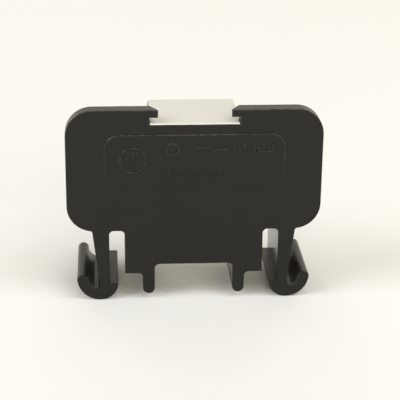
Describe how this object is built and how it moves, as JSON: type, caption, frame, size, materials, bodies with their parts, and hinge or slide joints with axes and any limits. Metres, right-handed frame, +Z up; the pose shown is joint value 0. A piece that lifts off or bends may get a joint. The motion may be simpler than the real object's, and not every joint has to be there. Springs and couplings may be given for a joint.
{
  "type": "terminal block",
  "caption": "Rail-mounted barrier terminal block: a moulded housing with a closed side plate, sprung feet, a marker strip on top and screw box clamps on a current bar.",
  "frame": {"origin": "middle of the block's outline in plan, at the bottom of its feet", "axes": "+X along the wire, +Y from the closed side to the open side and along the rail, +Z up away from the rail"},
  "size_m": [0.055, 0.0186, 0.0437],
  "materials": {
    "housing": "black moulded polyamide, satin gloss",
    "marker": "white plastic strip, fine satin",
    "bar": "tin-plated copper strip",
    "cage": "zinc-plated folded steel",
    "steel": "zinc-plated steel"
  },
  "bodies": {
    "block": {"housing": "housing", "current_bar": "bar", "bar_screw": "steel", "left_cage": "cage", "right_cage": "cage"},
    "left_press": {"left_pressure_plate": "steel"},
    "left_screw": {"left_clamp_screw": "steel"},
    "right_press": {"right_pressure_plate": "steel"},
    "right_screw": {"right_clamp_screw": "steel"},
    "marker": {"marker_strip": "marker"}
  },
  "joints": [
    {"name": "left_press_travel", "type": "slide", "parent": "block", "child": "left_press", "axis": [0, 0, -1], "range_m": [0, 0.005]},
    {"name": "left_screw_turn", "type": "hinge", "parent": "left_press", "child": "left_screw", "pos_m": [-0.0173, 0.00215, 0.0333], "axis": [0, 0, -1], "range_deg": [0, 1810]},
    {"name": "right_press_travel", "type": "slide", "parent": "block", "child": "right_press", "axis": [0, 0, -1], "range_m": [0, 0.005]},
    {"name": "right_screw_turn", "type": "hinge", "parent": "right_press", "child": "right_screw", "pos_m": [0.0173, 0.00215, 0.0333], "axis": [0, 0, -1], "range_deg": [0, 1810]},
    {"name": "marker_slide", "type": "slide", "parent": "block", "child": "marker", "axis": [0, -1, 0], "range_m": [0, 0.014]}
  ],
  "couplings": [
    {"joint": "left_screw_turn", "follows": "left_press_travel", "rad_per_m": 6283.2},
    {"joint": "right_screw_turn", "follows": "right_press_travel", "rad_per_m": 6283.2}
  ]
}
